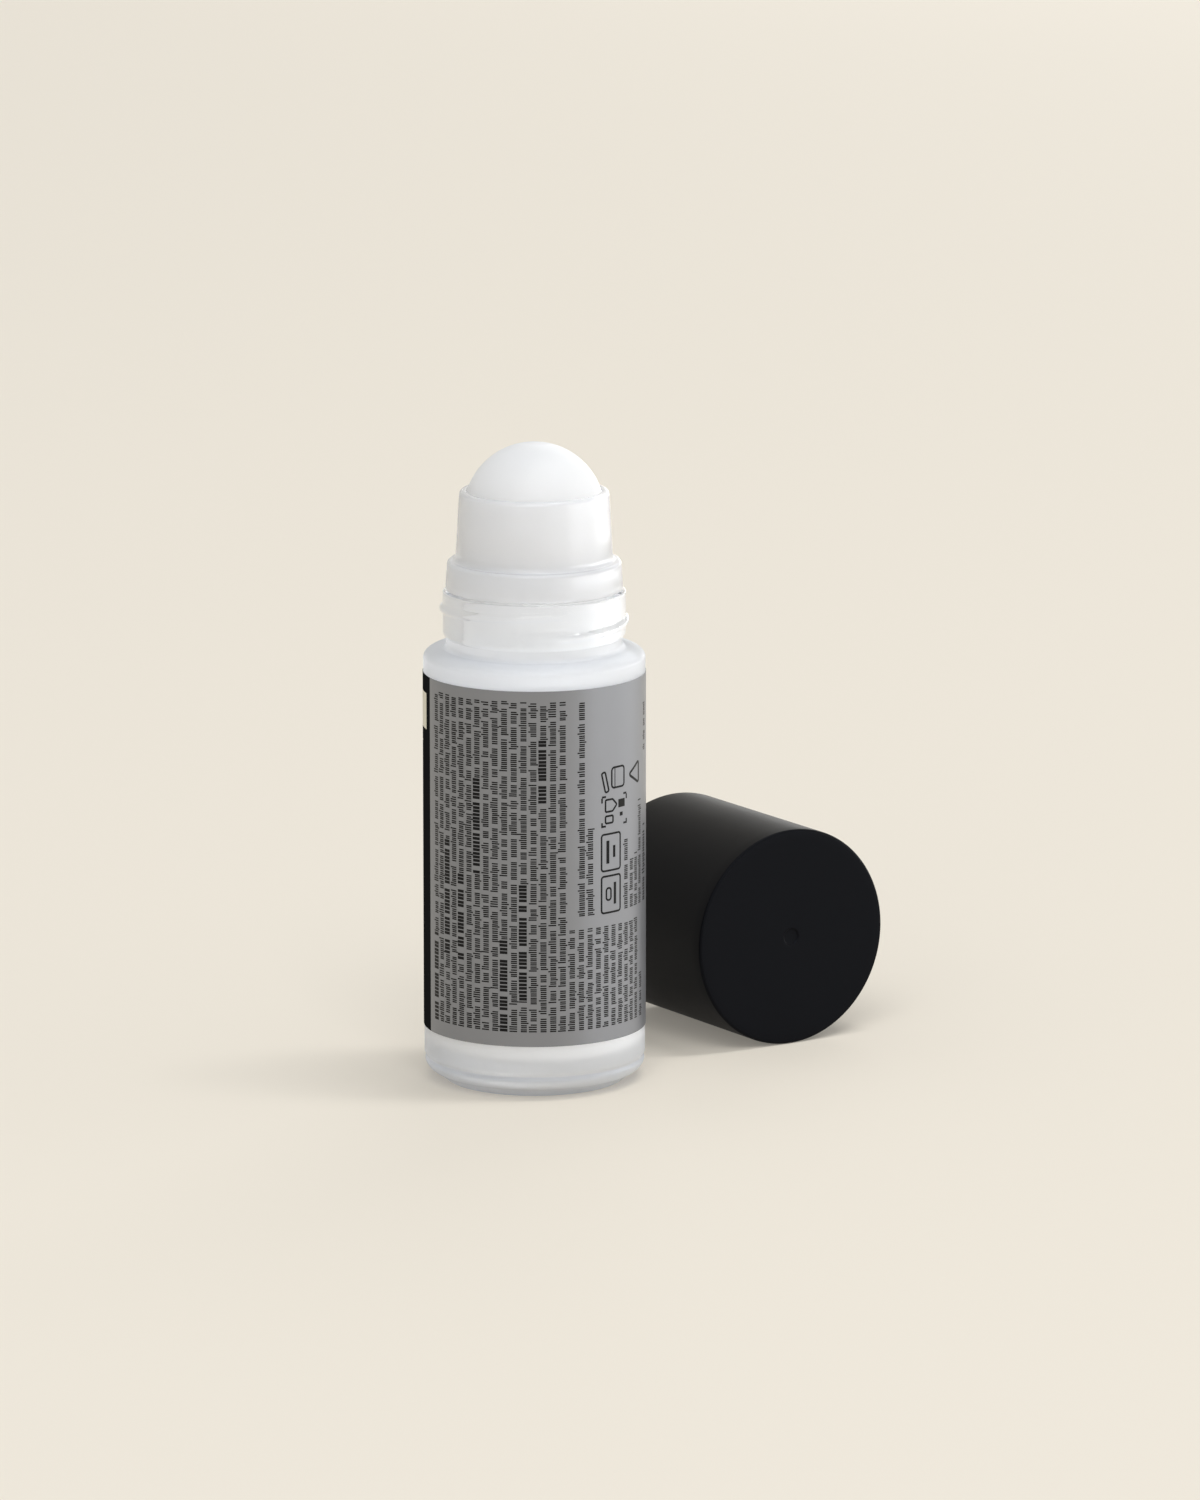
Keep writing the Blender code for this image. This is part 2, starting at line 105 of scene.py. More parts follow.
def newPiece(name, points, faces, finishes, faceFinish=None, sharpAngle=35):
    mesh = bpy.data.meshes.new(name)
    mesh.from_pydata(points, [], faces)
    for finish in finishes:
        mesh.materials.append(finish)
    if faceFinish:
        mesh.polygons.foreach_set("material_index", faceFinish)
    mesh.shade_smooth()
    mesh.set_sharp_from_angle(angle=math.radians(sharpAngle))
    mesh.update()
    piece = bpy.data.objects.new(name, mesh)
    bpy.context.scene.collection.objects.link(piece)
    return piece


def turnedPiece(name, sections, sides, finishes, ring=False):
    # sections are (finish number, outline points, bulge), where bulge(angle, height) adds to the radius
    rows = [(r, z, finish, bulge) for finish, outline, bulge in sections for r, z in outline]
    points, starts, faces, faceFinish = [], [], [], []
    for r, z, finish, bulge in rows:
        starts.append(len(points))
        if r < tinyRadius:
            points.append((0.0, 0.0, z * mm))
            continue
        for side in range(sides):
            angle = fullTurn * side / sides
            reach = (r + (bulge(angle, z) if bulge else 0.0)) * mm
            points.append((reach * math.cos(angle), reach * math.sin(angle), z * mm))
    last = len(rows) if ring else len(rows) - 1
    for i in range(last):
        k = (i + 1) % len(rows)
        for side in range(sides):
            nextSide = (side + 1) % sides
            above = [starts[i]] if rows[i][0] < tinyRadius else [starts[i] + side, starts[i] + nextSide]
            below = [starts[k]] if rows[k][0] < tinyRadius else [starts[k] + side, starts[k] + nextSide]
            faces.append([above[0]] + below + above[:0:-1])
            faceFinish.append(rows[k][2])
    return newPiece(name, points, faces, finishes, faceFinish)


def threadBulge(thread, sign=1):
    # a ridge along a helix, whose both ends sink into the wall
    def bulge(angle, height):
        extra = 0.0
        for lap in range(-1, 2):
            along = (angle - thread["startAngle"]) / fullTurn + lap
            share = along / thread["turns"]
            if not 0 < share < 1:
                continue
            lead = min(1.0, min(share, 1 - share) * thread["turns"] / thread["runOut"])
            centre = thread["start"] + thread["pitch"] * along
            off = abs(height - centre) / thread["halfWidth"]
            if off < 1:
                swell = (1 - off ** 2) ** thread["crestPower"]
                extra = max(extra, thread["height"] * swell * lead * lead * (3 - 2 * lead))
        return sign * extra
    return bulge


# Effects shared by the materials

def newGroup(name, inputs, outputs):
    group = bpy.data.node_groups.new(name, "ShaderNodeTree")
    for label, kind, value in inputs:
        socket = group.interface.new_socket(label, in_out="INPUT", socket_type=kind)
        socket.default_value = value
    for label, kind in outputs:
        group.interface.new_socket(label, in_out="OUTPUT", socket_type=kind)
    start = group.nodes.new("NodeGroupInput")
    end = group.nodes.new("NodeGroupOutput")
    return group, start, end


def mathNode(tree, operation, first, second=None):
    node = tree.nodes.new("ShaderNodeMath")
    node.operation = operation
    for socket, value in zip(node.inputs, (first, second)):
        if value is None:
            continue
        if isinstance(value, (int, float)):
            socket.default_value = value
        else:
            tree.links.new(value, socket)
    return node.outputs[0]


def buildGrainGroup():
    # fine surface grain as a height, and a slow drift of the gloss
    group, start, end = newGroup(
        "surfaceGrain",
        [
            ("Grain Size", "NodeSocketFloat", 0.1),
            ("Drift Size", "NodeSocketFloat", 6.0),
            ("Gloss", "NodeSocketFloat", 0.4),
            ("Gloss Drift", "NodeSocketFloat", 0.05),
        ],
        [("Height", "NodeSocketFloat"), ("Roughness", "NodeSocketFloat")],
    )
    links = group.links
    place = group.nodes.new("ShaderNodeTexCoord")
    grain = group.nodes.new("ShaderNodeTexNoise")
    drift = group.nodes.new("ShaderNodeTexNoise")
    for noise, label, detail in ((grain, "Grain Size", 3.0), (drift, "Drift Size", 2.0)):
        noise.inputs["Detail"].default_value = detail
        links.new(place.outputs["Object"], noise.inputs["Vector"])
        links.new(mathNode(group, "DIVIDE", 1 / mm, start.outputs[label]), noise.inputs["Scale"])
    centred = mathNode(group, "SUBTRACT", drift.outputs["Fac"], noiseMiddle)
    spread = mathNode(group, "MULTIPLY", centred, start.outputs["Gloss Drift"])
    links.new(grain.outputs["Fac"], end.inputs["Height"])
    links.new(mathNode(group, "ADD", start.outputs["Gloss"], spread), end.inputs["Roughness"])
    return group


def buildToneGroup():
    # a colour that varies a little from place to place, as pigment and print do
    group, start, end = newGroup(
        "toneDrift",
        [
            ("Colour", "NodeSocketColor", (0.5, 0.5, 0.5, 1.0)),
            ("Size", "NodeSocketFloat", 8.0),
            ("Amount", "NodeSocketFloat", 0.04),
        ],
        [("Colour", "NodeSocketColor")],
    )
    links = group.links
    place = group.nodes.new("ShaderNodeTexCoord")
    noise = group.nodes.new("ShaderNodeTexNoise")
    links.new(place.outputs["Object"], noise.inputs["Vector"])
    links.new(mathNode(group, "DIVIDE", 1 / mm, start.outputs["Size"]), noise.inputs["Scale"])
    centred = mathNode(group, "SUBTRACT", noise.outputs["Fac"], noiseMiddle)
    swing = mathNode(group, "MULTIPLY", centred, start.outputs["Amount"])
    scale = group.nodes.new("ShaderNodeVectorMath")
    scale.operation = "SCALE"
    links.new(start.outputs["Colour"], scale.inputs[0])
    links.new(mathNode(group, "ADD", swing, 1.0), scale.inputs["Scale"])
    links.new(scale.outputs[0], end.inputs["Colour"])
    return group


grainGroup = buildGrainGroup()
toneGroup = buildToneGroup()


def srgb(red, green, blue):
    # a colour as seen, 0 to 255, as the linear value that the shader takes
    parts = [c / 255 for c in (red, green, blue)]
    return tuple(c / 12.92 if c <= 0.04045 else ((c + 0.055) / 1.055) ** 2.4 for c in parts) + (1.0,)


def newFinish(name, look):
    # one Principled material with its own values in the shared effects
    material = bpy.data.materials.new(name)
    material.use_nodes = True
    tree = material.node_tree
    shader = tree.nodes["Principled BSDF"]
    for label, value in look.get("sockets", {}).items():
        shader.inputs[label].default_value = value
    grain = tree.nodes.new("ShaderNodeGroup")
    grain.node_tree = grainGroup
    grain.inputs["Grain Size"].default_value = look["grainSize"]
    grain.inputs["Drift Size"].default_value = look["driftSize"]
    grain.inputs["Gloss"].default_value = look["roughness"]
    grain.inputs["Gloss Drift"].default_value = look["glossDrift"]
    tree.links.new(grain.outputs["Roughness"], shader.inputs["Roughness"])
    bump = tree.nodes.new("ShaderNodeBump")
    bump.inputs["Strength"].default_value = look["grainStrength"]
    bump.inputs["Distance"].default_value = look["grainDepth"] * mm
    tree.links.new(grain.outputs["Height"], bump.inputs["Height"])
    tree.links.new(bump.outputs["Normal"], shader.inputs["Normal"])
    tone = tree.nodes.new("ShaderNodeGroup")
    tone.node_tree = toneGroup
    tone.inputs["Colour"].default_value = look["colour"]
    tone.inputs["Size"].default_value = look["toneSize"]
    tone.inputs["Amount"].default_value = look["toneAmount"]
    tree.links.new(tone.outputs["Colour"], shader.inputs["Base Color"])
    if look.get("letsLampsThrough"):
        letLampsThrough(tree, shader, look["letsLampsThrough"])
    return material


def letLampsThrough(tree, shader, tint):
    # lamps and diffuse light reach what is behind glass
    path = tree.nodes.new("ShaderNodeLightPath")
    either = mathNode(tree, "MAXIMUM", path.outputs["Is Shadow Ray"], path.outputs["Is Diffuse Ray"])
    clear = tree.nodes.new("ShaderNodeBsdfTransparent")
    clear.inputs["Color"].default_value = tint
    mix = tree.nodes.new("ShaderNodeMixShader")
    tree.links.new(either, mix.inputs[0])
    tree.links.new(shader.outputs[0], mix.inputs[1])
    tree.links.new(clear.outputs[0], mix.inputs[2])
    tree.links.new(mix.outputs[0], tree.nodes["Material Output"].inputs["Surface"])


# Glass bottle

glass = {
    "sides": 240,
    "wall": 3.0, "baseThickness": 6.0, "innerHeel": 3.5, "innerShoulder": 3.0,
    "shoulderTop": 79.3, "shoulderRound": 3.2, "shoulderDrop": 1.8, "shoulderWall": 2.3,
    "bore": 12.75, "boreLead": 0.8, "rimRound": 0.35,
    "land": 14.75, "beadHeight": 1.6, "beadRound": 0.25, "groove": 14.35, "grooveRound": 0.3,
    "neck": 16.5, "neckTop": 89.7, "neckEdge": 0.35,
    "waist": 15.8, "waistTop": 82.6, "waistBottom": 81.3, "waistArc": (-4, -84), "neckFillet": 0.8,
    "heelHeight": 4.25, "heelRound": 2.9, "heelSweep": 72, "footWidth": 1.9,
    "standWidth": 1.6, "standEdge": 0.4, "standInnerEdge": 0.3,
    "standInset": 0.6, "standRise": 0.45, "domeInset": 0.8, "domeStart": 22, "pushUp": 1.5,
    "footFinishTop": 20.0, "foldHeight": 4.2, "foldDepth": 0.38, "foldReach": 0.45,
}
# how far rows of points on straight stretches stay from the axis and from roundings
glassRows = {
    "axis": 2.0, "base": 1.0, "innerWall": 8.0, "boreFoot": 3.0, "boreTop": 2.0, "rim": 1.0,
    "neckTop": 0.7, "ridge": 0.8, "shoulder": 4.0, "footFinish": 5.0,
    "heel": 2.5, "heelFineTop": 2.3, "heelFineFoot": 0.2,
}
glassThread = {
    "startAngle": math.radians(-79), "start": 83.5, "pitch": 4.23, "turns": 1.04, "runOut": 0.035,
    "height": 0.6, "halfWidth": 0.9, "crestPower": 1.2,
}
clearGlassLook = {
    "colour": (0.97, 0.98, 0.99, 1.0), "toneSize": 9.0, "toneAmount": 0.01,
    "roughness": 0.02, "glossDrift": 0.015, "driftSize": 5.0,
    "grainSize": 3.5, "grainDepth": 0.02, "grainStrength": 0.35,
    "sockets": {"Transmission Weight": 1.0, "IOR": 1.52},
    "letsLampsThrough": (0.97, 0.975, 0.98, 1.0),
}
frostedGlassLook = {
    "colour": (0.862, 0.868, 0.885, 1.0), "toneSize": 6.0, "toneAmount": 0.015,
    "roughness": 0.46, "glossDrift": 0.06, "driftSize": 4.0,
    "grainSize": 0.12, "grainDepth": 0.012, "grainStrength": 0.25,
    "sockets": {"Transmission Weight": 0.55, "IOR": 1.52, "Subsurface Weight": 0.5,
                "Subsurface Radius": (1, 1, 1), "Subsurface Scale": 0.012},
    "letsLampsThrough": (0.92, 0.93, 0.95, 1.0),
}
# painted light: a lighter, bluer copy of the frosted glass for the lower wall, which lifts it where it lies
# close to the floor
paintedLightLowWallLook = dict(
    frostedGlassLook, colour=(0.94, 0.96, 1.0, 1.0), letsLampsThrough=(0.9, 0.915, 0.945, 1.0),
    sockets=dict(frostedGlassLook["sockets"], **{"Subsurface Scale": 0.003}),
)
# painted shade: a darker copy of the lower wall's glass for the heel and foot by the floor; it also lets
# less lamp light through to the floor beneath
paintedShadeFootLook = dict(
    paintedLightLowWallLook, colour=(0.86, 0.885, 0.94, 1.0), letsLampsThrough=(0.66, 0.68, 0.73, 1.0),
)
mistedGlassLook = {
    "colour": (0.985, 0.985, 0.99, 1.0), "toneSize": 5.0, "toneAmount": 0.02,
    "roughness": 0.5, "glossDrift": 0.08, "driftSize": 3.0,
    "grainSize": 0.3, "grainDepth": 0.02, "grainStrength": 0.3,
    "sockets": {"Transmission Weight": 0.35, "IOR": 1.52, "Subsurface Weight": 0.8,
                "Subsurface Radius": (1, 1, 1), "Subsurface Scale": 0.02},
    "letsLampsThrough": (0.97, 0.975, 0.99, 1.0),
}


def makeGlassBottle():
    g, row = glass, glassRows
    inside = bottleRadius - g["wall"]
    ceiling = g["shoulderTop"] - g["shoulderWall"]
    base, innerHeel, innerShoulder = g["baseThickness"], g["innerHeel"], g["innerShoulder"]
    inner = [(0.0, base)]
    inner += fineLine((row["axis"], base), (inside - innerHeel - row["base"], base), 4)
    inner += arcPoints(inside - innerHeel, base + innerHeel, innerHeel, -90, 0, 14)
    inner += fineLine((inside, base + row["innerWall"]), (inside, ceiling - row["innerWall"]), 6)
    throat = arcPoints(inside - innerShoulder, ceiling - innerShoulder, innerShoulder, 0, 90, 12)
    lead = g["boreLead"]
    throat += arcPoints(g["bore"] + lead, ceiling + lead, lead, -90, -180, 6)
    throat += fineLine((g["bore"], ceiling + row["boreFoot"]), (g["bore"], rimHeight - row["boreTop"]), 8)

    beadBottom = rimHeight - g["beadHeight"]
    snap = g["land"] - g["groove"]
    finish = roundCorners([
        (g["bore"], rimHeight - row["rim"], 0),
        (g["bore"], rimHeight, g["rimRound"]),
        (g["land"], rimHeight, g["rimRound"]),
        (g["land"], beadBottom + snap, g["beadRound"]),
        (g["groove"], beadBottom, g["beadRound"]),
        (g["groove"], g["neckTop"], g["grooveRound"]),
        (g["neck"], g["neckTop"], g["neckEdge"]),
        (g["neck"], g["neckTop"] - row["neckTop"], 0),
    ])
    ridgeRows = fineLine((g["neck"], g["neckTop"] - row["ridge"]), (g["neck"], g["waistTop"]), 60)
    depth = g["waistTop"] - g["waistBottom"]
    waist = arcPoints(g["waist"], g["waistTop"], g["neck"] - g["waist"], *g["waistArc"], 10, depth)

    fillet, across, drop = g["neckFillet"], g["shoulderRound"], g["shoulderDrop"]
    wallTop, finishTop = g["shoulderTop"] - drop, g["footFinishTop"]
    body = arcPoints(g["waist"] + fillet, g["shoulderTop"] + fillet, fillet, 180, 270, 9)
    body += arcPoints(bottleRadius - across, wallTop, across, 90, 0, 16, drop)
    body += fineLine((bottleRadius, wallTop - row["shoulder"]), (bottleRadius, finishTop), 8)
    heelTop, fold = g["heelHeight"], g["foldHeight"]
    heel = fineLine((bottleRadius, finishTop - row["footFinish"]), (bottleRadius, heelTop + row["heel"]), 4)
    heel += fineLine(
        (bottleRadius, heelTop + row["heelFineTop"]), (bottleRadius, heelTop + row["heelFineFoot"]), 14
    )
    heel += arcPoints(bottleRadius - g["heelRound"], heelTop, g["heelRound"], 0, -g["heelSweep"], 24)
    heel = [(r - g["foldDepth"] * math.exp(-((z - fold) / g["foldReach"]) ** 2), z) for r, z in heel]
    lowWall = [(r, z) for r, z in heel if z >= fold]
    heel = heel[len(lowWall):]
    standOutside = heel[-1][0] - g["footWidth"]
    standInside = standOutside - g["standWidth"]
    foot = roundCorners([
        heel[-1] + (0,),
        (standOutside, 0.0, g["standEdge"]),
        (standInside, 0.0, g["standInnerEdge"]),
        (standInside - g["standInset"], g["standRise"], 0),
    ])[1:]
    dome = arcPoints(0.0, 0.0, standInside - g["domeInset"], g["domeStart"], 90, 12, g["pushUp"])
    dome[-1] = (0.0, g["pushUp"])

    clear, frosted, misted, paintedLightLowWall, paintedShadeFoot = range(5)
    sections = [
        (clear, inner, None),
        (misted, throat, None),
        (clear, finish, None),
        (clear, ridgeRows, threadBulge(glassThread)),
        (clear, waist, None),
        (frosted, body, None),
        # the lower wall takes a lighter copy of the frosted glass (painted light) and the foot a darker one
        # (painted shade)
        (paintedLightLowWall, lowWall, None),
        (paintedShadeFoot, heel + foot + dome, None),
    ]
    finishes = [
        newFinish("clearGlass", clearGlassLook),
        newFinish("frostedGlass", frostedGlassLook),
        newFinish("mistedGlass", mistedGlassLook),
        newFinish("paintedLightLowWall", paintedLightLowWallLook),
        newFinish("paintedShadeFoot", paintedShadeFootLook),
    ]
    return turnedPiece("glassBottle", sections, g["sides"], finishes)


glassBottle = makeGlassBottle()
glassBottle.location = bottleFoot
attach(glassBottle, "bottle")
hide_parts("glass_bottle")
print("glass bottle made")


# Lotion

lotionSizes = {
    "sides": 160, "level": 64.0, "wetting": 0.02, "meniscus": 0.7, "meniscusStart": -80,
    "axisRow": 3.0, "sideRow": 4.0,
}
# widths at the level, as shares of how far the lotion climbs
lotionShares = {"meniscus": 2.2, "levelRows": 3}
lotionLook = {
    "colour": (0.96, 0.96, 0.955, 1.0), "toneSize": 7.0, "toneAmount": 0.02,
    "roughness": 0.32, "glossDrift": 0.05, "driftSize": 5.0,
    "grainSize": 1.5, "grainDepth": 0.02, "grainStrength": 0.2,
    "sockets": {"IOR": 1.38},
}


def makeLotion():
    # wets the glass, so it reaches just into the wall, and climbs it a little at its level
    s = lotionSizes
    reach = bottleRadius - glass["wall"] + s["wetting"]
    low = glass["baseThickness"] - s["wetting"]
    heel, level, climb = glass["innerHeel"], s["level"], s["meniscus"]
    width = lotionShares["meniscus"] * climb
    top = [(0.0, level)]
    top += fineLine((s["axisRow"], level), (reach - lotionShares["levelRows"] * climb, level), 3)
    top += arcPoints(reach - width, level + climb, width, s["meniscusStart"], 0, 8, climb)
    side = fineLine((reach, level - s["sideRow"]), (reach, low + heel + s["sideRow"]), 6)
    bottom = arcPoints(reach - heel, low + heel, heel, 0, -90, 12) + [(0.0, low)]
    finishes = [newFinish("whiteLotion", lotionLook)]
    return turnedPiece("lotion", [(0, top + side + bottom, None)], s["sides"], finishes)


lotion = makeLotion()
lotion.location = bottleFoot
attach(lotion, "bottle")
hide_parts("deodorant_fill")
print("lotion made")


# Wrap-around label: a grey back panel and a black front panel, printed with plain marks

label = {
    "bottom": 10.0, "top": 75.0, "filmGap": 0.03, "thickness": 0.09, "sharpAngle": 50,
    "seam": 0.6, "seamAngle": math.radians(22), "columnStep": math.radians(1.5),
    "panelEdge": math.radians(-158.5), "printStart": math.radians(-157.9),
}
greyFilmLook = {
    "colour": srgb(135, 137, 142), "toneSize": 10.0, "toneAmount": 0.03,
    "roughness": 0.4, "glossDrift": 0.05, "driftSize": 6.0,
    "grainSize": 0.5, "grainDepth": 0.006, "grainStrength": 0.2,
    "sockets": {"IOR": 1.5, "Metallic": 0.9},
}
blackFilmLook = dict(greyFilmLook, colour=srgb(29, 29, 30), sockets={"IOR": 1.5, "Specular IOR Level": 0.0})
backingLook = dict(greyFilmLook, colour=srgb(228, 228, 226), roughness=0.5, sockets={"IOR": 1.5})
labelOutside = bottleRadius + label["filmGap"] + label["thickness"]


def makeWrapLabel():
    grey, black, backing = range(3)
    inner = (labelOutside - label["thickness"]) * mm
    outer = labelOutside * mm
    slit = label["seam"] / labelOutside / 2
    start = label["seamAngle"] + slit
    end = label["seamAngle"] + fullTurn - slit
    edge = label["panelEdge"] + fullTurn
    angles, finishes = [start], []
    for low, high, finish in ((start, edge, black), (edge, end, grey)):
        count = round((high - low) / label["columnStep"])
        angles += [low + (high - low) * (i + 1) / count for i in range(count)]
        finishes += [finish] * count
    points, faces, faceFinish = [], [], []
    for angle in angles:
        for radius, height in ((outer, "bottom"), (outer, "top"), (inner, "top"), (inner, "bottom")):
            points.append((radius * math.cos(angle), radius * math.sin(angle), label[height] * mm))
    for i, finish in enumerate(finishes):
        a, b = 4 * i, 4 * i + 4
        for corner, tone in ((0, finish), (1, finish), (2, backing), (3, finish)):
            following = (corner + 1) % 4
            faces.append([a + corner, b + corner, b + following, a + following])
            faceFinish.append(tone)
    last = 4 * len(finishes)
    faces += [[0, 1, 2, 3], [last + 3, last + 2, last + 1, last]]
    faceFinish += [black, grey]
    films = [
        newFinish("greyFilm", greyFilmLook),
        newFinish("blackFilm", blackFilmLook),
        newFinish("filmBacking", backingLook),
    ]
    return newPiece("wrapLabel", points, faces, films, faceFinish, label["sharpAngle"])


wrapLabel = makeWrapLabel()
wrapLabel.location = bottleFoot
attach(wrapLabel, "bottle")
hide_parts("wrap_label")
print("label made")


# Print on the label. A place on it is (along, height): millimetres round the film from printStart,
# close to the panels' border, to the right on the grey panel, and millimetres above the foot

ink = {"proud": 0.012, "sunk": 0.01, "longestStep": 0.7, "cornerSteps": 5, "sharpAngle": 30}


class InkSheet:
    # thin closed plates that lie in the film's outer face
    def __init__(self):
        self.points = []
        self.faces = []

    def place(self, along, height, lift):
        angle = label["printStart"] + along / labelOutside
        radius = (labelOutside + lift) * mm
        return (radius * math.cos(angle), radius * math.sin(angle), height * mm)

    def ribbon(self, left, right):
        # two edges of equally many (along, height) points, joined by a plate
        base = len(self.points)
        top, bottom = ink["proud"], -ink["sunk"]
        for a, b in zip(left, right):
            for (along, height), lift in ((a, top), (b, top), (b, bottom), (a, bottom)):
                self.points.append(self.place(along, height, lift))
        for i in range(len(left) - 1):
            k = base + 4 * i
            for corner in range(4):
                following = (corner + 1) % 4
                self.faces.append([k + corner, k + following, k + 4 + following, k + 4 + corner])
        end = base + 4 * (len(left) - 1)
        self.faces += [[base + 3, base + 2, base + 1, base], [end, end + 1, end + 2, end + 3]]

    def bar(self, fromAlong, toAlong, low, high):
        count = max(1, math.ceil((toAlong - fromAlong) / ink["longestStep"]))
        steps = [fromAlong + (toAlong - fromAlong) * i / count for i in range(count + 1)]
        self.ribbon([(s, high) for s in steps], [(s, low) for s in steps])

    def loop(self, corners, rounding, line):
        # the outline of a shape with rounded corners, as one closed line of ink
        path = []
        for i, corner in enumerate(corners):
            here = Vector(corner)
            before = (Vector(corners[i - 1]) - here).normalized()
            after = (Vector(corners[(i + 1) % len(corners)]) - here).normalized()
            half = before.angle(after) / 2
            centre = here + (before + after).normalized() * rounding / math.sin(half)
            start = here + before * rounding / math.tan(half) - centre
            end = here + after * rounding / math.tan(half) - centre
            shares = [step / ink["cornerSteps"] for step in range(ink["cornerSteps"] + 1)]
            path += [centre + start.slerp(end, share) * start.length for share in shares]
        around = []
        for a, b in zip(path, path[1:] + path[:1]):
            count = max(1, math.ceil((b - a).length / ink["longestStep"]))
            around += [a.lerp(b, i / count) for i in range(count)]
        left, right = [], []
        for i, point in enumerate(around + around[:1]):
            forward = around[(i + 1) % len(around)] - around[i - 1]
            across = Vector((-forward.y, forward.x)).normalized() * line / 2
            left.append(tuple(point + across))
            right.append(tuple(point - across))
        self.ribbon(left, right)

    def box(self, left, right, low, high, rounding, line):
        self.loop([(left, low), (right, low), (right, high), (left, high)], rounding, line)

    def finish(self, name, look):
        inks = [newFinish(name + "Ink", look)]
        piece = newPiece(name, self.points, self.faces, inks, None, ink["sharpAngle"])
        piece.location = bottleFoot
        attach(piece, "bottle")


rows = {
    "pitch": 1.765, "first": 2.55, "fullCount": 16, "height": 1.14,
    "bottom": 12.7, "top": 73.2, "lowerCount": 10, "lowerTop": 31.3, "lowerScale": 0.93, "upperBottom": 33.6,
    "stroke": 0.24, "heavyStroke": 0.52, "gap": 0.105, "wordGap": 0.56, "wordLength": (1.2, 6.5),
    "rise": 0.34, "riseBelow": 0.24, "drop": 0.3, "dropAbove": 0.92, "singleBelow": 0.3,
    "unevenness": 0.1, "gapSpread": (0.7, 1.2), "clumpSpread": (0.4, 1.0),
}
# (row, bottom, top) of stretches in a heavier print
heavyStretches = [
    (0, 12.7, 28.3), (2, 25.0, 45.4), (4, 24.2, 40.5), (6, 41.0, 57.6), (9, 12.7, 28.8),
    (11, 18.2, 38.6), (13, 53.6, 65.2),
]
# (along, top, scale) of the shorter rows above the lower ones
shortRows = [
    (32.7, 73.0, 1.0), (34.4, 49.8, 1.0), (43.1, 46.6, 0.95), (44.9, 42.6, 0.95),
    (46.6, 43.6, 0.95), (48.4, 53.0, 0.95), (51.0, 48.0, 1.3),
]
# (along, bottom, top, scale) of two rows that stand by themselves
loneRows = [(51.2, 61.3, 70.2, 0.95), (48.9, 12.7, 21.0, 0.95)]


def drawWords(sheet, centre, low, high, scale, dice, heavy=()):
    # a row of plain upright marks in word-like clumps that stand for small print, and no letters
    height = low
    xHeight = rows["height"] * scale
    baseline = centre + xHeight / 2
    while height < high - rows["stroke"]:
        wordEnd = min(high, height + dice.uniform(*rows["wordLength"]) * scale)
        while height < wordEnd - rows["stroke"]:
            bold = any(a <= height < b for a, b in heavy)
            stroke = (rows["heavyStroke"] if bold else rows["stroke"]) * scale
            pick = dice.random()
            rise = rows["rise"] * scale if pick < rows["riseBelow"] or bold else 0.0
            drop = rows["drop"] * scale if pick > rows["dropAbove"] and not bold else 0.0
            shrink = dice.uniform(0, rows["unevenness"]) * scale
            for mark in range(1 if pick < rows["singleBelow"] else 2):
                if height + stroke > wordEnd:
                    break
                reach = rise if mark == 0 or bold else 0.0
                left = baseline - xHeight - reach + shrink
                sheet.bar(left, baseline + drop * (mark == 0), height, height + stroke)
                height += stroke + rows["gap"] * scale * dice.uniform(*rows["gapSpread"])
            height += rows["gap"] * scale * dice.uniform(*rows["clumpSpread"])
        height = wordEnd + rows["wordGap"] * scale


def printBackPanel():
    dice = random.Random(11)
    sheet = InkSheet()
    for i in range(rows["fullCount"]):
        heavy = [(a, b) for row, a, b in heavyStretches if row == i]
        drawWords(sheet, rows["first"] + i * rows["pitch"], rows["bottom"], rows["top"], 1.0, dice, heavy)
    for i in range(rows["lowerCount"]):
        centre = rows["first"] + (rows["fullCount"] + i) * rows["pitch"]
        drawWords(sheet, centre, rows["bottom"], rows["lowerTop"], rows["lowerScale"], dice)
    for along, high, scale in shortRows:
        drawWords(sheet, along, rows["upperBottom"], high, scale, dice)
    for along, low, high, scale in loneRows:
        drawWords(sheet, along, low, high, scale, dice)
    printIcons(sheet)
    return sheet


# plain outlined shapes where small signs stand, with nothing written in them
icons = {
    "line": 0.36, "peakLineShare": 1.3,
    # left, right, bottom, top and rounding of outlined boxes
    "boxes": [
        (36.8, 41.4, 33.6, 40.3, 0.5), (36.8, 41.4, 41.3, 48.0, 0.5), (37.9, 39.0, 35.9, 38.1, 0.5),
        (37.7, 39.5, 50.0, 51.3, 0.25), (39.2, 42.5, 56.3, 60.0, 0.6),
    ],
    # left, right, bottom and top of solid bars
    "bars": [
        (39.7, 40.3, 35.0, 39.0), (37.9, 38.6, 42.6, 46.8), (39.5, 40.1, 43.6, 45.8),
        (40.9, 42.7, 52.5, 54.0), (41.3, 42.1, 50.9, 51.6), (39.9, 40.1, 56.4, 59.9),
    ],
    # corners and rounding of other outlines
    "shapes": [
        ([(37.7, 52.1), (39.4, 52.1), (40.5, 53.2), (39.4, 54.3), (37.7, 54.3)], 0.25),
        ([(36.8, 59.2), (37.6, 59.5), (38.5, 55.9), (37.7, 55.6)], 0.3),
    ],
    "peak": ([(44.0, 58.0), (47.8, 55.9), (47.8, 60.0)], 0.35),
    # left, right, bottom and top of a field marked at its corners, and how long the marks are
    "field": (36.9, 43.2, 49.3, 54.7), "fieldMark": 0.9,
}


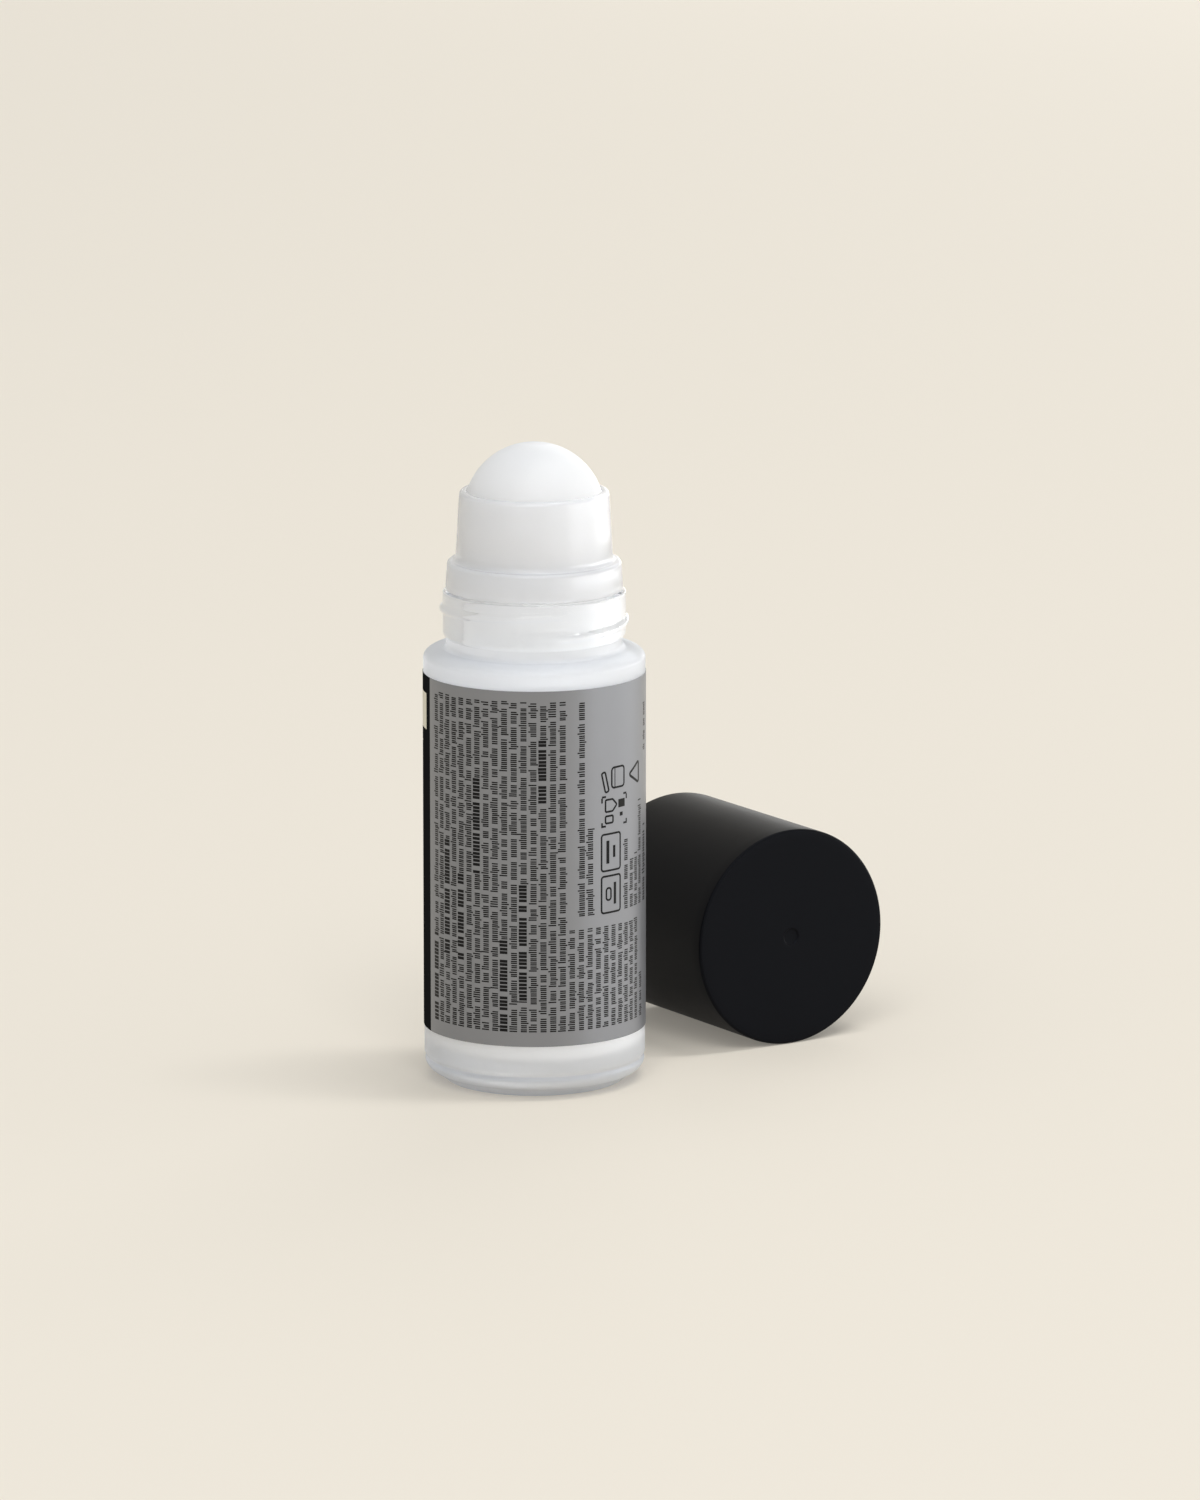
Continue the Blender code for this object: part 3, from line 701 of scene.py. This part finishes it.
def printIcons(sheet):
    line, reach = icons["line"], icons["fieldMark"]
    for box in icons["boxes"]:
        sheet.box(*box, line)
    for bar in icons["bars"]:
        sheet.bar(*bar)
    for corners, rounding in icons["shapes"]:
        sheet.loop(corners, rounding, line)
    sheet.loop(*icons["peak"], line * icons["peakLineShare"])
    left, right, low, high = icons["field"]
    for along, inward in ((left, reach), (right, -reach)):
        for height, up in ((low, reach), (high, -reach)):
            sheet.bar(*sorted((along, along + inward)), height, height + line)
            sheet.bar(along - line / 2, along + line / 2, *sorted((height, height + up)))


frontMarks = {
    # left, right, bottom and top of a band, two rules and a short bar
    "bars": [
        (-60.8, -2.2, 65.2, 71.8), (-60.8, -6.0, 62.4, 62.7),
        (-46.0, -17.0, 16.4, 16.7), (-36.0, -27.0, 13.2, 14.6),
    ],
    # level, height and width of rows of word-like marks, about one middle
    "rows": [(53.0, 2.2, 30.0), (48.6, 1.0, 40.0), (46.2, 1.0, 37.0), (43.8, 1.0, 39.0), (41.4, 1.0, 24.0)],
    "middle": -31.5, "markLength": (1.6, 4.6), "shortest": 1.0, "gap": 0.5, "gapShare": 0.3,
    # left, right, bottom, top, rounding and line of a ring
    "ring": (-38.5, -24.5, 22.5, 35.5, 6.4, 0.3),
}


def printFrontPanel():
    dice = random.Random(5)
    marks = frontMarks
    sheet = InkSheet()
    for bar in marks["bars"]:
        sheet.bar(*bar)
    for level, tall, width in marks["rows"]:
        left, end = marks["middle"] - width / 2, marks["middle"] + width / 2
        while left < end - marks["shortest"]:
            right = min(left + dice.uniform(*marks["markLength"]) * (1 + tall) / 2, end)
            sheet.bar(left, right, level, level + tall)
            left = right + marks["gap"] + marks["gapShare"] * tall
    sheet.box(*marks["ring"])
    return sheet


darkInkLook = {
    "colour": srgb(18, 18, 19), "toneSize": 3.0, "toneAmount": 0.12,
    "roughness": 0.42, "glossDrift": 0.05, "driftSize": 4.0,
    "grainSize": 0.2, "grainDepth": 0.004, "grainStrength": 0.2,
    "sockets": {"IOR": 1.5, "Specular IOR Level": 0.12},
}
creamInkLook = dict(darkInkLook, colour=srgb(226, 220, 200), toneAmount=0.03)

backSheet = printBackPanel()
backSheet.finish("backPanelPrint", darkInkLook)
printFrontPanel().finish("frontPanelPrint", creamInkLook)
print("print made,", len(backSheet.faces), "faces on the back panel")


# Ball housing

housing = {
    "sides": 200,
    "skirtInside": 15.05, "skirtOutside": 16.0, "skirtBottom": 90.0, "skirtTaper": 0.3, "skirtRound": 0.7,
    "skirtEdge": 0.15, "skirtInset": 0.05, "skirtRow": 1.0,
    "snap": 14.65, "snapTop": 91.5, "snapLead": 0.3, "snapTopEdge": 0.1,
    "webBottom": 94.0, "webEdge": 0.15, "flangeTop": 95.2,
    "plugOutside": 12.45, "plugInside": 11.25, "plugLength": 10.0, "plugTopRow": 1.5, "plugFootRow": 1.2,
    "plugChamfer": 0.5, "plugRound": 0.3, "plugTip": 0.15, "plugRoof": 0.5,
    "sealProud": 0.2, "sealWidth": 0.5, "sealShares": (0.40, 0.72), "sealSteps": 4,
    "seatRadius": 9.398, "seatLevel": 95.15, "seatWidth": 1.0, "seatEdge": 0.2,
    "seatDrop": 0.28, "seatSlope": 0.5, "seatFoot": 0.1, "cupRound": 0.5,
    "socket": 12.8, "collarInside": 12.9, "collarTop": 13.5, "collarFoot": 14.1,
    "collarInset": 0.05, "collarTopRow": 1.5, "collarFootRow": 0.9,
    "footWidth": 0.6, "footHeight": 1.4, "lipRise": 4.1, "lipRound": 0.85, "lipLand": 0.35,
    "lipEdge": (0.15, 0.05), "gripEase": 0.6,
}
housingLook = {
    "colour": (0.89, 0.893, 0.91, 1.0), "toneSize": 6.0, "toneAmount": 0.02,
    "roughness": 0.24, "glossDrift": 0.06, "driftSize": 4.0,
    "grainSize": 0.4, "grainDepth": 0.01, "grainStrength": 0.2,
    "sockets": {"IOR": 1.49, "Transmission Weight": 0.5, "Subsurface Weight": 0.4,
                "Subsurface Radius": (1, 1, 1), "Subsurface Scale": 0.012},
    "letsLampsThrough": (0.90, 0.905, 0.92, 1.0),
}


def makeBallHousing():
    h = housing
    lipInside = math.sqrt(h["socket"] ** 2 - h["lipRise"] ** 2)
    lipTop = ballCentre + h["lipRise"]
    edgeAcross, edgeDrop = h["lipEdge"]
    outside = [(lipInside + edgeAcross, lipTop - edgeDrop), (lipInside + h["lipLand"], lipTop)]
    outside += arcPoints(h["collarTop"] - h["lipRound"], lipTop - h["lipRound"], h["lipRound"], 90, 0, 8)
    footWidth, footHeight = h["footWidth"], h["footHeight"]
    footTop = h["flangeTop"] + footHeight
    outside += fineLine(
        (h["collarTop"] + h["collarInset"], lipTop - h["collarTopRow"]),
        (h["collarFoot"] - h["collarInset"], footTop + h["collarFootRow"]), 6,
    )
    outside += arcPoints(h["collarFoot"] + footWidth, footTop, footWidth, 180, 270, 8, footHeight)
    shoulder, skirtRound = h["skirtOutside"] - h["skirtTaper"], h["skirtRound"]
    outside += arcPoints(shoulder - skirtRound, h["flangeTop"] - skirtRound, skirtRound, 90, 4, 7)

    skirt = roundCorners([
        (h["skirtOutside"] - h["skirtInset"], h["skirtBottom"] + h["skirtRow"], 0),
        (h["skirtOutside"], h["skirtBottom"], h["skirtEdge"]),
        (h["skirtInside"], h["skirtBottom"], h["skirtEdge"]),
        (h["snap"], h["skirtBottom"] + h["snapLead"], h["skirtEdge"]),
        (h["snap"], h["snapTop"] - h["snapLead"], h["skirtEdge"]),
        (h["skirtInside"], h["snapTop"], h["snapTopEdge"]),
        (h["skirtInside"], h["webBottom"], h["webEdge"]),
        (h["plugOutside"], h["webBottom"], h["webEdge"]),
        (h["plugOutside"], h["webBottom"] - h["plugTopRow"], 0),
    ], 4)

    plug = []
    steps = h["sealSteps"]
    for share in h["sealShares"]:
        level = h["webBottom"] - share * h["plugLength"]
        for step in range(-steps, steps + 1):
            swell = h["sealProud"] * math.cos(math.pi * step / (2 * steps))
            plug.append((h["plugOutside"] + swell, level - h["sealWidth"] * step / steps))
    plugBottom = h["webBottom"] - h["plugLength"]
    plug += roundCorners([
        (h["plugOutside"], plugBottom + h["plugFootRow"], 0),
        (h["plugOutside"], plugBottom + h["plugChamfer"], h["plugRound"]),
        (h["plugOutside"] - h["plugChamfer"], plugBottom, h["plugTip"]),
        (h["plugInside"], plugBottom, h["plugRound"]),
        (h["plugInside"], h["webBottom"], h["plugRoof"]),
        (h["seatRadius"], h["webBottom"], h["seatEdge"]),
        (h["seatRadius"], h["seatLevel"], 0),
    ], 4)

    seatOutside = h["seatRadius"] + h["seatWidth"]
    seatTop = ballCentre - math.sqrt(h["socket"] ** 2 - seatOutside ** 2)
    lowest = seatTop - h["seatDrop"]
    cup = roundCorners([
        (seatOutside, seatTop, 0),
        (seatOutside + h["seatSlope"], lowest, h["seatFoot"]),
        (h["collarInside"], lowest, h["cupRound"]),
        (h["collarInside"], ballCentre, 0),
    ], 4)
    grip = math.degrees(math.asin(h["lipRise"] / h["socket"]))
    cup += arcPoints(0.0, ballCentre, h["socket"], 1, grip - h["gripEase"], 8)
    outline = outside + skirt + plug + cup
    finishes = [newFinish("naturalPlastic", housingLook)]
    return turnedPiece("ballHousing", [(0, outline, None)], h["sides"], finishes, ring=True)


ballHousing = makeBallHousing()
ballHousing.location = bottleFoot
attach(ballHousing, "bottle")
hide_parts("ball_housing")
print("ball housing made")


# Ball

ball = {"sides": 160, "rings": 60, "weldDepth": 0.015, "weldWidth": 0.12}
ballLook = {
    "colour": (0.752, 0.748, 0.75, 1.0), "toneSize": 9.0, "toneAmount": 0.015,
    "roughness": 0.42, "glossDrift": 0.06, "driftSize": 7.0,
    "grainSize": 0.5, "grainDepth": 0.006, "grainStrength": 0.15,
    "sockets": {"IOR": 1.49, "Specular IOR Level": 0.3, "Subsurface Weight": 1.0,
                "Subsurface Radius": (1, 1, 1), "Subsurface Scale": 0.025},
}


def makeRollerBall():
    # two half shells ground flush, with a hair line where they are welded
    edge = math.degrees(ball["weldWidth"] / 2 / ballRadius)
    half = ball["rings"] // 2
    upper = arcPoints(0.0, 0.0, ballRadius, 90, edge, half)
    lower = arcPoints(0.0, 0.0, ballRadius, -edge, -90, half)
    weld = [(ballRadius - ball["weldDepth"], 0.0)]
    upper[0] = (0.0, ballRadius)
    lower[-1] = (0.0, -ballRadius)
    return turnedPiece("rollerBall", [(0, upper + weld + lower, None)], ball["sides"],
                       [newFinish("whiteBall", ballLook)])


rollerBall = makeRollerBall()
rollerBall.location = bottleFoot + Vector((0, 0, ballCentre * mm))
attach(rollerBall, "ball")
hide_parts("ball_upper_half", "ball_lower_half")
print("ball made")


# Cap: heights run from its mouth to its closed face

cap = {
    "sides": 240, "length": 38.8, "inside": 18.6, "ceiling": 37.4, "edge": 0.5, "mouthEdge": 0.3,
    "gateRadius": 1.65, "gateDepth": 0.25, "gateCorner": 0.2, "gateEdge": 0.08, "ceilingCorner": 0.2,
}
# how far rows of points stay from the axis, from roundings and from the mouth
capRows = {
    "gateAxis": 0.5, "gateRim": 0.6, "faceAxis": 4.0, "faceRim": 2.5, "edge": 2.0, "edgeSide": 3, "side": 6,
    "mouth": 2, "mouthSide": 4, "ceiling": 1, "ceilingSide": 2,
}
liner = {
    "sides": 200, "outside": 18.3, "root": 17.45, "recess": 0.8, "top": 37.1, "ceiling": 36.2,
    "ringInside": 5.969, "ringOutside": 6.769, "ringTip": 34.664,
    "topCorner": 0.6, "footEdge": 0.15, "ceilingCorner": 0.8, "ringFillet": 0.25, "ringEdge": 0.2,
}
# the same for the liner, where ridgeTop and wallFoot are heights
linerRows = {
    "topAxis": 4, "recess": 0.5, "ridgeFoot": 0.6, "ridgeTop": 9.6, "wallFoot": 11, "wallTop": 3,
    "ceiling": 2, "ceilingAxis": 2,
}
linerThread = {
    "startAngle": 0.0, "start": 2.9, "pitch": 4.23, "turns": 1.1, "runOut": 0.06,
    "height": 0.55, "halfWidth": 0.85, "crestPower": 1.1,
}
capLook = {
    "colour": srgb(12, 12, 15), "toneSize": 8.0, "toneAmount": 0.06,
    "roughness": 0.43, "glossDrift": 0.04, "driftSize": 9.0,
    "grainSize": 0.09, "grainDepth": 0.01, "grainStrength": 0.22,
    "sockets": {"IOR": 1.49, "Specular IOR Level": 0.06, "Specular Tint": (0.75, 0.85, 1.0, 1.0)},
}
linerLook = {
    "colour": srgb(30, 30, 32), "toneSize": 5.0, "toneAmount": 0.08,
    "roughness": 0.34, "glossDrift": 0.06, "driftSize": 5.0,
    "grainSize": 0.3, "grainDepth": 0.008, "grainStrength": 0.2,
    "sockets": {"IOR": 1.49, "Specular IOR Level": 0.4},
}


def capPlace():
    mouth = capMiddle - capAxis * cap["length"] * mm / 2
    return Matrix.Translation(mouth) @ capAxis.to_track_quat("Z", "X").to_matrix().to_4x4()


def makeCapShell():
    c, row = cap, capRows
    top, gateFloor = c["length"], c["length"] - c["gateDepth"]
    gate = [(0.0, gateFloor)]
    gate += roundCorners([
        (row["gateAxis"], gateFloor, 0),
        (c["gateRadius"] - c["gateDepth"], gateFloor, c["gateCorner"]),
        (c["gateRadius"], top, c["gateEdge"]),
        (c["gateRadius"] + row["gateRim"], top, 0),
    ], 4)
    face = fineLine((row["faceAxis"], top), (capRadius - row["faceRim"], top), 5)
    side = roundCorners([
        (capRadius - row["edge"], top, 0),
        (capRadius, top, c["edge"]),
        (capRadius, top - row["edgeSide"], 0),
    ], 8)
    side += fineLine((capRadius, top - row["side"]), (capRadius, row["mouthSide"]), 8)
    mouth = roundCorners([
        (capRadius, row["mouth"], 0),
        (capRadius, 0, c["mouthEdge"]),
        (c["inside"], 0, c["mouthEdge"]),
        (c["inside"], row["mouth"], 0),
    ], 5)
    inner = fineLine((c["inside"], row["mouthSide"]), (c["inside"], c["ceiling"] - row["ceilingSide"]), 4)
    inner += roundCorners([
        (c["inside"], c["ceiling"] - row["ceiling"], 0),
        (c["inside"], c["ceiling"], c["ceilingCorner"]),
        (0, c["ceiling"], 0),
    ], 4)
    outline = gate + face + side + mouth + inner
    return turnedPiece("capShell", [(0, outline, None)], c["sides"], [newFinish("matteBlack", capLook)])


def makeCapLiner():
    n, row = liner, linerRows
    outside = [(0.0, n["top"])]
    outside += roundCorners([
        (row["topAxis"], n["top"], 0),
        (n["outside"], n["top"], n["topCorner"]),
        (n["outside"], n["recess"], n["footEdge"]),
        (n["root"], n["recess"], n["footEdge"]),
        (n["root"], n["recess"] + row["recess"], 0),
    ], 5)
    ridgeRows = fineLine((n["root"], n["recess"] + row["ridgeFoot"]), (n["root"], row["ridgeTop"]), 70)
    inner = fineLine((n["root"], row["wallFoot"]), (n["root"], n["ceiling"] - row["wallTop"]), 5)
    inner += roundCorners([
        (n["root"], n["ceiling"] - row["ceiling"], 0),
        (n["root"], n["ceiling"], n["ceilingCorner"]),
        (n["ringOutside"], n["ceiling"], n["ringFillet"]),
        (n["ringOutside"], n["ringTip"], n["ringEdge"]),
        (n["ringInside"], n["ringTip"], n["ringEdge"]),
        (n["ringInside"], n["ceiling"], n["ringFillet"]),
        (row["ceilingAxis"], n["ceiling"], 0),
    ], 5)
    inner.append((0.0, n["ceiling"]))
    sections = [(0, outside, None), (0, ridgeRows, threadBulge(linerThread, -1)), (0, inner, None)]
    return turnedPiece("capLiner", sections, n["sides"], [newFinish("linerBlack", linerLook)])


capShell = makeCapShell()
capLiner = makeCapLiner()
capPieces = [(capShell, "cap_shell", "black_plastic"), (capLiner, "cap_liner", "liner_plastic")]
for piece, node, slotName in capPieces:
    piece.matrix_world = capPlace()
    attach(piece, "cap")
    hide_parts(node)
print("cap made")


# Stage, light and camera

studio = {
    "floorSize": 14.0, "floorDrop": 0.00002, "floorColour": srgb(246, 236, 220),
    "skyColour": (0.91, 0.955, 1.0, 1.0), "skyStrength": 0.36,
    # the last share is how much of the floor glows: painted light that lightens its shadows
    "behindColour": srgb(236, 230, 218), "floorGlowShare": 0.2,
    "lampColour": (0.965, 0.982, 1.0), "steepElevation": 60,
}
paperLook = {
    "colour": studio["floorColour"], "toneSize": 400.0, "toneAmount": 0.01,
    "roughness": 0.85, "glossDrift": 0.02, "driftSize": 200.0,
    "grainSize": 1.0, "grainDepth": 0.01, "grainStrength": 0.1,
    "sockets": {"Specular IOR Level": 0.15},
}
# each lamp: azimuth from the camera's side towards +X, elevation, distance, width, height, light level
lamps = {
    "keyStrip": (90, 74, 6.0, 2.8, 0.8, 0.275),
    "frontSoftbox": (0, 50, 6.0, 3.3, 2.7, 0.32),
    "frontFill": (-15, 22, 6.0, 3.3, 1.8, 0.1),
    "sideFill": (-50, 30, 6.0, 3.3, 1.8, 0.03),
    "lowPanel35": (35, 3, 2.2, 1.03, 0.22, 0.03),
    "lowPanel65": (65, 3, 2.2, 1.03, 0.22, 0.125),
    "lowPanel90": (90, 3, 2.2, 1.03, 0.22, 0.1),
    "lowPanel115": (115, 3, 2.2, 1.03, 0.22, 0.2),
    "lowPanel140": (140, 3, 2.2, 1.03, 0.22, 0.04),
    "lowPanel165": (165, 5, 2.2, 1.03, 0.3, 0.06),
    "backPanel": (165, 30, 6.0, 3.5, 1.8, 0.105),
}
# the camera that was fitted to the photograph: its place in millimetres
view = {
    "lens": 237.36, "sensor": 36, "farthest": 100, "side": -12.482, "back": -1769.656, "height": 424.285,
    "pitch": math.radians(11.779), "yaw": math.radians(0.0795),
}


def seenRays(tree):
    # the rays that show the background: straight, mirrored and through glass
    path = tree.nodes.new("ShaderNodeLightPath")
    seen = mathNode(tree, "MAXIMUM", path.outputs["Is Camera Ray"], path.outputs["Is Glossy Ray"])
    return mathNode(tree, "MAXIMUM", seen, path.outputs["Is Transmission Ray"])


def glowIntoFloorShadows(tree):
    # painted light: a share of the floor glows in the backdrop's tone for straight, mirrored and
    # through-glass rays, which lightens the floor's shadows
    seen = seenRays(tree)
    glow = tree.nodes.new("ShaderNodeEmission")
    glow.inputs["Color"].default_value = studio["behindColour"]
    mix = tree.nodes.new("ShaderNodeMixShader")
    tree.links.new(mathNode(tree, "MULTIPLY", seen, studio["floorGlowShare"]), mix.inputs[0])
    tree.links.new(tree.nodes["Principled BSDF"].outputs[0], mix.inputs[1])
    tree.links.new(glow.outputs[0], mix.inputs[2])
    tree.links.new(mix.outputs[0], tree.nodes["Material Output"].inputs["Surface"])


def makeFloor():
    half = studio["floorSize"] / 2
    drop = -studio["floorDrop"]
    corners = [(-half, -half, drop), (half, -half, drop), (half, half, drop), (-half, half, drop)]
    paperFloor = newFinish("paperFloor", paperLook)
    glowIntoFloorShadows(paperFloor.node_tree)
    floor = newPiece("floor", corners, [[0, 1, 2, 3]], [paperFloor])


def makeSky():
    world = bpy.data.worlds.new("softRoom")
    world.use_nodes = True
    bpy.context.scene.world = world
    tree = world.node_tree
    room = tree.nodes["Background"]
    room.inputs["Color"].default_value = studio["skyColour"]
    room.inputs["Strength"].default_value = studio["skyStrength"]
    backdrop = tree.nodes.new("ShaderNodeBackground")
    backdrop.inputs["Color"].default_value = studio["behindColour"]
    mix = tree.nodes.new("ShaderNodeMixShader")
    tree.links.new(seenRays(tree), mix.inputs[0])
    tree.links.new(room.outputs[0], mix.inputs[1])
    tree.links.new(backdrop.outputs[0], mix.inputs[2])
    tree.links.new(mix.outputs[0], tree.nodes["World Output"].inputs["Surface"])


def makeLamp(name, azimuth, elevation, distance, width, height, level):
    # level is how bright a white surface that faces the lamp looks in its light alone
    data = bpy.data.lights.new(name, "AREA")
    data.shape = "RECTANGLE"
    data.size = width
    data.size_y = height
    data.color = studio["lampColour"]
    data.energy = level * (math.pi * distance) ** 2
    lamp = bpy.data.objects.new(name, data)
    bpy.context.scene.collection.objects.link(lamp)
    around, up = math.radians(azimuth), math.radians(elevation)
    away = Vector((math.sin(around) * math.cos(up), -math.cos(around) * math.cos(up), math.sin(up)))
    sideways = Vector((math.cos(around), math.sin(around), 0))
    if elevation > studio["steepElevation"]:
        sideways = Vector((0, 0, 1)).cross(away).cross(away).normalized()
    upward = away.cross(sideways)
    basis = Matrix((sideways, upward, away)).transposed()
    lamp.matrix_world = Matrix.Translation(bottleFoot + away * distance) @ basis.to_4x4()


def makeCamera():
    data = bpy.data.cameras.new("photoView")
    data.lens = view["lens"]
    data.sensor_width = view["sensor"]
    data.clip_end = view["farthest"]
    camera = bpy.data.objects.new("photoView", data)
    bpy.context.scene.collection.objects.link(camera)
    camera.location = Vector((view["side"], view["back"], view["height"])) * mm
    camera.rotation_euler = (math.pi / 2 - view["pitch"], 0, -view["yaw"])
    bpy.context.scene.camera = camera


makeFloor()
makeSky()
for lampName, values in lamps.items():
    makeLamp(lampName, *values)
makeCamera()
bpy.context.scene.view_settings.view_transform = "Standard"
print("stage, light and camera set")
